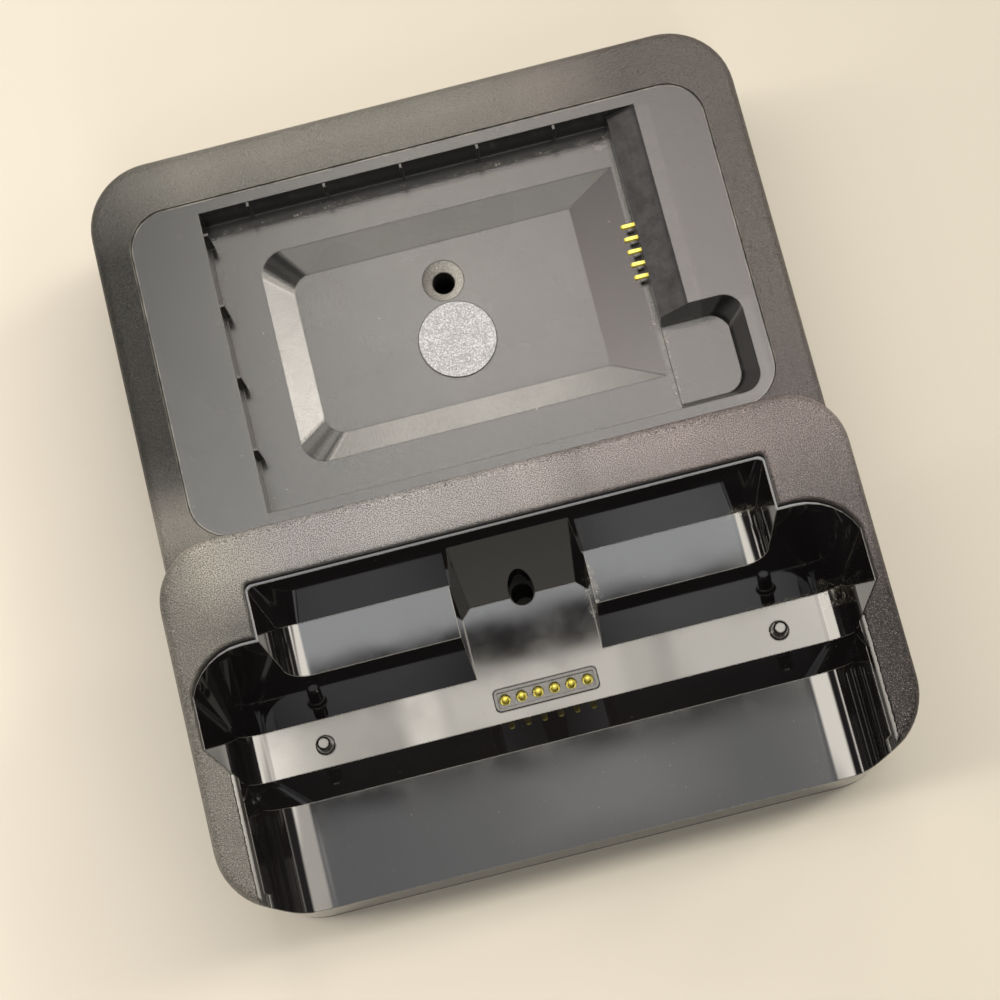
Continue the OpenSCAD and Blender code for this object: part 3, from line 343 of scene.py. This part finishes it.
def gloss_material():
    m, nt, bsdf, vec = new_material("insert_glossy")
    cloud = noise(nt, vec, 16, 4)
    base = mix(nt, cloud, (0.006, 0.0054, 0.0057), (0.012, 0.0105, 0.011))
    fine = specks(nt, vec, 1.6, 0.10, 0.35)
    big = specks(nt, vec, 4.5, 0.20, 0.35)
    mark = most(nt, scratches(nt, vec, 12, 3.0, 0.05, 4.0, 0.30),
                scratches(nt, vec, 58, 2.0, 0.05, 5.0, 0.25),
                scratches(nt, vec, -35, 2.4, 0.04, 5.0, 0.25))
    lint_places = most(
        nt,
        zone(nt, vec, (9.2, 10.9), (-25, -18.5), (15, 44), 0.25),
        zone(nt, vec, (31, 37), (-17.6, -16.4), (28, 31), 0.4),
        zone(nt, vec, (32, 46), (-29.9, -29.1), (15, 17.0), 0.25),
        zone(nt, vec, (43, 47), (-32, -28), (16, 20), 0.5))
    lint = mul(nt, lint_places, crumbs(nt, vec, 2.2))
    film = span(nt, noise(nt, vec, 0.6, 5, 0.75), 0.62, 0.80, 0.0, 0.10)
    dust = most(nt, mul(nt, fine, 0.5), mul(nt, big, 0.7), lint, film)
    base = mix(nt, dust, base, DUST)
    base = mix(nt, mul(nt, mark, 0.35), base, (0.40, 0.39, 0.37))
    normal, edges = soft_edges(nt, 0.22, 0.05, 0.2)
    # Painted highlight: a cream line along the edges, where their rounding catches the light
    base = mix(nt, mul(nt, edges, 0.5), base, (0.62, 0.58, 0.50))
    nt.links.new(base, bsdf.inputs["Base Color"])
    smear = noise(nt, vec, 10, 4, 0.6)
    rough = add(nt, span(nt, smear, 0.40, 0.75, 0.03, 0.07),
                mul(nt, most(nt, lint, mark, fine), 0.4))
    nt.links.new(rough, bsdf.inputs["Roughness"])
    wave = add(nt, noise(nt, vec, 14, 1), mul(nt, noise(nt, vec, 0.25, 2), 0.006))
    bump(nt, bsdf, wave, 0.05, 0.35, normal=normal)
    return m


def satin_material():
    m, nt, bsdf, vec = new_material("insert_satin")
    cloud = noise(nt, vec, 18, 3)
    base = mix(nt, cloud, (0.013, 0.013, 0.0135), (0.024, 0.0235, 0.0235))
    fine = specks(nt, vec, 2.2, 0.12, 0.30)
    mark = most(nt, scratches(nt, vec, 8, 6.0, 0.06, 3.5, 0.35),
                scratches(nt, vec, 70, 3.0, 0.06, 4.5, 0.30),
                scratches(nt, vec, -28, 4.0, 0.05, 5.0, 0.25))
    lint_places = most(
        nt,
        mul(nt, zone(nt, vec, (29.5, 30.6), (2, 47), (22, 25.0), 0.2), 0.6),
        zone(nt, vec, (-33, 30.6), (45.6, 46.8), (22, 23.6), 0.2),
        zone(nt, vec, (27.5, 30.8), (44, 46.8), (22, 24), 0.3),
        zone(nt, vec, (29, 41), (14.6, 15.8), (22, 25), 0.25),
        zone(nt, vec, (-3.4, 3.4), (27.1, 33.9), (17, 20.6), 0.2))
    lint = mul(nt, lint_places, crumbs(nt, vec, 2.0))
    base = mix(nt, most(nt, mul(nt, fine, 0.5), lint), base, DUST)
    base = mix(nt, mul(nt, mark, 0.25), base, (0.35, 0.34, 0.33))
    groove = groove_dust(nt, vec)
    normal, edges = soft_edges(nt, 0.22, 0.05, 0.2)
    # Painted highlight: a light line along the edges, where their rounding catches the light
    base = mix(nt, mul(nt, edges, 0.40), base, (0.45, 0.43, 0.39))
    base = mix(nt, groove, base, GROOVE_DUST)
    # The slope above the contacts, lighter in clouds, and the sunk mouth of the mounting hole,
    # which has a painted highlight and dust
    lighter_slope = mul(nt, zone(nt, vec, (29.9, 36.5), (13.5, 47), (22.6, 29.6), 0.3),
                 span(nt, noise(nt, vec, 3.0, 5, 0.7), 0.3, 0.7, 0.35, 1.0))
    base = mix(nt, lighter_slope, base, (0.092, 0.089, 0.093))
    # Painted light: two patches painted lighter, a strip at the foot of the bay's rear wall and a
    # patch on the right of the tray, standing in for reflected light
    painted_light_patch = most(nt, zone(nt, vec, (-33, 30), (45.8, 48.2), (22.5, 23.6), 0.5),
                zone(nt, vec, (37.5, 43.5), (-1, 14), (24.6, 29.7), 0.5))
    base = mix(nt, painted_light_patch, base, (0.070, 0.068, 0.070))
    # Painted highlight on the sunk mouth of the mounting hole, lighter towards the right, flecked
    # with dust
    sunk_dust_and_highlight = mul(nt, zone(nt, vec, (-3.2, 3.2), (27.3, 33.7), (18.0, 20.93), 0.06),
               span(nt, axis_of(nt, vec, 0), -0.003, 0.002, 0.2, 1.0))
    sunk_dust_and_highlight = mul(nt, sunk_dust_and_highlight, span(nt, noise(nt, vec, 0.3, 3), 0.35, 0.65, 0.6, 1.0))
    base = mix(nt, sunk_dust_and_highlight, base, (0.66, 0.64, 0.60))
    nt.links.new(base, bsdf.inputs["Base Color"])
    rub = noise(nt, vec, 9, 2, 0.5)
    rough = add(nt, span(nt, rub, 0.0, 1.0, 0.12, 0.19), mul(nt, most(nt, lint, mark), 0.3))
    nt.links.new(rough, bsdf.inputs["Roughness"])
    grain = add(nt, noise(nt, vec, 0.18, 1.5), mul(nt, noise(nt, vec, 10, 2), 0.6))
    bump(nt, bsdf, grain, 0.03, 0.4, normal=normal)
    return m


def simple_material(name, low, high, rough=(0.35, 0.5), scale=3.0, metallic=0.0, grain=0.3,
                    depth=0.03, edge=0.1):
    """A colour between two in clouds `scale` mm wide, with a bump `grain` mm wide."""
    m, nt, bsdf, vec = new_material(name)
    base = mix(nt, noise(nt, vec, scale, 3), low, high)
    nt.links.new(base, bsdf.inputs["Base Color"])
    bsdf.inputs["Metallic"].default_value = metallic
    roughness = span(nt, noise(nt, vec, scale * 0.4, 3), 0.3, 0.7, *rough)
    nt.links.new(roughness, bsdf.inputs["Roughness"])
    bump(nt, bsdf, noise(nt, vec, grain, 2), depth, 0.5, edge_mm=edge)
    return m


def pad_material():
    m, nt, bsdf, vec = new_material("pad_speckled")
    speck = noise(nt, vec, 0.22, 2, 0.7)
    base = ramp(nt, speck, [
        (0.32, (0.24, 0.245, 0.265)), (0.50, (0.42, 0.42, 0.44)), (0.66, (0.74, 0.74, 0.76))])
    nt.links.new(base, bsdf.inputs["Base Color"])
    bsdf.inputs["Roughness"].default_value = 0.6
    bump(nt, bsdf, speck, 0.06, 0.6)
    return m


MATERIALS = {
    "housing": housing_material(),
    "gloss": gloss_material(),
    "satin": satin_material(),
    "pad": pad_material(),
    "base": simple_material(
        "cover_black", (0.012, 0.012, 0.012), (0.024, 0.024, 0.024), (0.45, 0.6), 9, grain=0.35,
        depth=0.08),
    "connector": simple_material(
        "connector_black", (0.02, 0.02, 0.021), (0.04, 0.04, 0.042), (0.25, 0.4), 2),
    "pin_block": simple_material(
        "pin_block_black", (0.07, 0.068, 0.066), (0.14, 0.135, 0.13), (0.22, 0.35), 0.5,
        grain=0.2, depth=0.03, edge=0.15),
    "gold": simple_material(
        "gold_plate", (0.86, 0.72, 0.09), (1.0, 0.88, 0.20), (0.30, 0.42), 0.8, metallic=0.45,
        grain=0.15, depth=0.01, edge=0.08),
    "board": simple_material(
        "board_green", (0.01, 0.09, 0.04), (0.015, 0.13, 0.06), (0.3, 0.45), 4),
    "steel": simple_material(
        "screw_steel", (0.45, 0.45, 0.46), (0.62, 0.62, 0.63), (0.25, 0.42), 1, metallic=1.0,
        grain=0.2, depth=0.01),
    "ribbon": simple_material(
        "ribbon_amber", (0.35, 0.20, 0.05), (0.5, 0.3, 0.09), (0.3, 0.4), 2),
    "socket": simple_material(
        "socket_cream", (0.6, 0.57, 0.47), (0.7, 0.67, 0.57), (0.4, 0.5), 2),
    "chip": simple_material(
        "chip_black", (0.015, 0.015, 0.015), (0.03, 0.03, 0.03), (0.4, 0.6), 1),
    "capacitor": simple_material(
        "capacitor_sleeve", (0.03, 0.04, 0.1), (0.05, 0.06, 0.14), (0.2, 0.35), 2),
    "rubber": simple_material(
        "foot_rubber", (0.012, 0.012, 0.012), (0.028, 0.028, 0.028), (0.6, 0.8), 2, grain=0.3,
        depth=0.1),
}
NODE_MATERIAL = {
    "top_housing": "housing", "cradle_insert": "gloss", "battery_insert": "satin",
    "round_pad": "pad", "base_cover": "base", "connector_body": "pin_block",
    "contact_carrier": "connector", "main_board": "board", "power_inlet": "connector",
    "inlet_pin": "steel", "case_screws": "steel", "board_screws": "steel",
    "contact_ribbon": "ribbon", "ribbon_socket": "socket", "charge_chip": "chip",
    "power_inductor": "chip", "bulk_capacitor": "capacitor",
}


def material_of(name):
    if name in NODE_MATERIAL:
        return MATERIALS[NODE_MATERIAL[name]]
    if name.startswith("rubber_foot"):
        return MATERIALS["rubber"]
    if name.startswith("pogo_spring"):
        return MATERIALS["steel"]
    return MATERIALS["gold"]


WELD_DISTANCE = 0.002 * MM
SMOOTH_BELOW = math.radians(23.3)
for name, obj in nodes.items():
    obj.data.materials.clear()
    obj.data.materials.append(material_of(name))
    weld = obj.modifiers.new("weld", "WELD")
    weld.merge_threshold = WELD_DISTANCE
    crease = obj.modifiers.new("split", "EDGE_SPLIT")
    crease.split_angle = SMOOTH_BELOW


# The springs under the pins, as copies with meshes of their own on the charger body

for i in range(1, 7):
    node = f"pogo_spring_{i}"
    coil = bpy.data.objects.new(f"spring_coil_{i}", nodes[node].data.copy())
    bpy.context.scene.collection.objects.link(coil)
    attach(coil, "charger")
    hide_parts(node)
    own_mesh(coil)


# Floor

def plane(name, size, z, material):
    me = bpy.data.meshes.new(name)
    bm = bmesh.new()
    bmesh.ops.create_grid(bm, x_segments=8, y_segments=8, size=size)
    bmesh.ops.translate(bm, verts=bm.verts, vec=(0, 0, z))
    bm.to_mesh(me)
    bm.free()
    o = bpy.data.objects.new(name, me)
    bpy.context.scene.collection.objects.link(o)
    me.materials.append(material)
    return o


def floor_material():
    m, nt, bsdf, vec = new_material("floor_pale")
    x = axis_of(nt, vec, 0)
    # Painted light: the floor is lighter on the left and darker on the right, as the light falls
    # off
    base = mix(nt, span(nt, x, -0.09, 0.09, 0.0, 1.0), (0.71, 0.66, 0.575), (0.55, 0.513, 0.435))
    nt.links.new(base, bsdf.inputs["Base Color"])
    bsdf.inputs["Roughness"].default_value = 0.55
    return m


floor = plane("floor", 1.5, 0.0, floor_material())


# Light: a plain room with windows. Angles are in degrees from straight up, x towards the right
# and y towards the rear.

world = bpy.data.worlds.new("world")
world.use_nodes = True
wt = world.node_tree
wt.nodes.remove(wt.nodes["Background"])
ray = wt.nodes.new("ShaderNodeTexCoord").outputs["Generated"]
# Rays below this slope count as rays along the horizon
HORIZON = 0.02
up_z = calc(wt, "MAXIMUM", axis_of(wt, ray, 2), HORIZON)
ang_x = mul(wt, calc(wt, "ARCTAN2", axis_of(wt, ray, 0), up_z), 180 / math.pi)
ang_y = mul(wt, calc(wt, "ARCTAN2", axis_of(wt, ray, 1), up_z), 180 / math.pi)

ROOM = 0.12
COOL, WARM, ROSE = 0, 1, 2
TINTS = ((0.98, 0.99, 1.0), (1.0, 0.94, 0.84), (1.0, 0.87, 0.83))
PANELS = [
    # x from, x to, y from, y to, soft x, soft y, brightness, tint
    (-9, -6.2, 6.2, 7.95, 1.0, 0.25, 14.0, WARM),
    (-6.2, -3.5, 6.2, 7.95, 0.8, 0.25, 7.0, WARM),
    (-3.5, -2.6, 6.2, 7.95, 0.3, 0.25, 10.0, WARM),
    (-2.6, 2.3, 6.2, 7.95, 0.5, 0.25, 9.0, WARM),
    (2.3, 3.1, 6.2, 7.95, 0.3, 0.25, 6.0, WARM),
    (3.1, 9, 6.2, 7.95, 0.3, 0.25, 8.6, WARM),
    (-8.5, 8, 9.05, 12.4, 1.5, 0.2, 4.6, COOL),
    (-12, -4.5, 12.9, 22, 3, 0.8, 1.7, COOL),
    (-4.2, 2.6, 13.6, 19.0, 1.2, 0.8, 9.8, WARM),
    (2.6, 8, 12.9, 16.2, 1.5, 1.0, 6.0, ROSE),
    (2.6, 8, 16.2, 19.0, 1.5, 1.0, 4.0, ROSE),
    (8, 14, 12.9, 22, 2, 0.8, 4.2, ROSE),
    (37, 49, -15, -2, 4, 4, 3.2, WARM),
    (22, 38, -28, -14, 4, 4, 2.6, WARM),
    (34, 48, 31, 47, 5, 4, 5.0, WARM),
    (16, 36, 46, 60, 5, 4, 5.0, WARM),
    (-4.5, 8, 19.6, 25, 2, 1.0, 4.8, WARM),
    (-8.5, 8.5, -4, 5.6, 3, 0.6, 1.5, COOL),
    (-1, 3, 3.7, 5.4, 1.5, 0.5, 0.9, WARM),
    (-4, 8.5, -4, 5.6, 2, 0.6, 0.35, WARM),
    (-53, -9.5, 3.4, 12.2, 4, 1.2, 11.5, WARM),
    (8.5, 53, 2.8, 7.9, 4, 1.0, 6.0, WARM),
    (8.5, 50, 7.9, 12.4, 4, 1.0, 12.0, WARM),
    (-33, -18, 14, 21, 4, 3, 4.5, ROSE),
    (43, 53, 15, 26, 4, 4, 23.0, WARM),
    (-10, 10, 59, 70, 5, 4, 10.8, WARM),
    (-8, 9, -40, -28, 4, 4, 5.0, WARM),
    (-10, -2.2, -60, -47, 3, 4, 5.0, COOL),
    (2.2, 10, -60, -47, 3, 4, 8.0, COOL),
    (-89, -72, -10, 40, 2, 5, 8.0, WARM),
    (74, 89, -10, 40, 2, 5, 2.5, WARM),
]


def sky_of(x_from, x_to, y_from, y_to):
    """The room's light, and the windows that reach into a range of angles."""
    steps = {}

    def step(value, at, soft, rising):
        key = (value, at, soft, rising)
        if key not in steps:
            n = wt.nodes.new("ShaderNodeMapRange")
            n.interpolation_type = "SMOOTHSTEP"
            ends = (0.0, 1.0) if rising else (1.0, 0.0)
            values = (at - soft, at + soft, *ends)
            for name, v in zip(("From Min", "From Max", "To Min", "To Max"), values):
                n.inputs[name].default_value = v
            wt.links.new(ang_x if value == "x" else ang_y, n.inputs["Value"])
            steps[key] = n.outputs[0]
        return steps[key]

    def window(axis, lo, hi, soft):
        return mul(wt, step(axis, lo, soft, True), step(axis, hi, soft, False))

    rows = {}
    for x0, x1, y0, y1, sx, sy, gain, tint in PANELS:
        if x0 - sx < x_to and x1 + sx > x_from and y0 - sy < y_to and y1 + sy > y_from:
            part = mul(wt, window("x", x0, x1, sx), gain)
            rows.setdefault((tint, y0, y1, sy), []).append(part)
    levels = {COOL: ROOM}
    for (tint, y0, y1, sy), parts in rows.items():
        row = parts[0]
        for part in parts[1:]:
            row = add(wt, row, part)
        row = mul(wt, row, window("y", y0, y1, sy))
        levels[tint] = add(wt, row, levels[tint]) if tint in levels else row
    total = None
    for tint, level in levels.items():
        light = wt.nodes.new("ShaderNodeBackground")
        light.inputs[0].default_value = (*TINTS[tint], 1)
        if isinstance(level, float):
            light.inputs[1].default_value = level
        else:
            wt.links.new(level, light.inputs[1])
        if total is None:
            total = light.outputs[0]
        else:
            both = wt.nodes.new("ShaderNodeAddShader")
            wt.links.new(total, both.inputs[0])
            wt.links.new(light.outputs[0], both.inputs[1])
            total = both.outputs[0]
    return total


def split(value, at, below, above):
    """One light below an angle and another above it: a ray works out only its own side."""
    n = wt.nodes.new("ShaderNodeMixShader")
    wt.links.new(calc(wt, "GREATER_THAN", value, at), n.inputs[0])
    wt.links.new(below, n.inputs[1])
    wt.links.new(above, n.inputs[2])
    return n.outputs[0]


# The angles where the zones of the sky meet
SIDE, FRONT, MIDDLE, REAR, END = 16, -5, 8.5, 26.5, 90
near = split(ang_y, MIDDLE, sky_of(-SIDE, SIDE, FRONT, MIDDLE), sky_of(-SIDE, SIDE, MIDDLE, REAR))
left_and_near = split(ang_x, -SIDE, sky_of(-END, -SIDE, FRONT, REAR), near)
level = split(ang_x, SIDE, left_and_near, sky_of(SIDE, END, FRONT, REAR))
front = split(ang_x, SIDE, sky_of(-END, SIDE, -END, FRONT), sky_of(SIDE, END, -END, FRONT))
rear = split(ang_x, SIDE, sky_of(-END, SIDE, REAR, END), sky_of(SIDE, END, REAR, END))
sky = split(ang_y, REAR, split(ang_y, FRONT, front, level), rear)
wt.links.new(sky, wt.nodes["World Output"].inputs[0])
bpy.context.scene.world = world


# Camera: its axes and its place were worked out from the photograph

CAMERA_AT = (0.16 * MM, -78.4 * MM, 373.15 * MM)
right = Vector((0.9695, -0.2401, -0.0499))
up = Vector((0.2453, 0.9490, 0.1981))
back = right.cross(up).normalized()
up = back.cross(right).normalized()
cam_data = bpy.data.cameras.new("camera")
cam_data.lens = 86.4
cam_data.sensor_width = 36.0
cam_data.clip_start = 0.01
camera = bpy.data.objects.new("camera", cam_data)
camera.matrix_world = Matrix((
    (right.x, up.x, back.x, CAMERA_AT[0]),
    (right.y, up.y, back.y, CAMERA_AT[1]),
    (right.z, up.z, back.z, CAMERA_AT[2]),
    (0, 0, 0, 1)))
bpy.context.scene.collection.objects.link(camera)
bpy.context.scene.camera = camera
bpy.context.scene.view_settings.view_transform = "Standard"
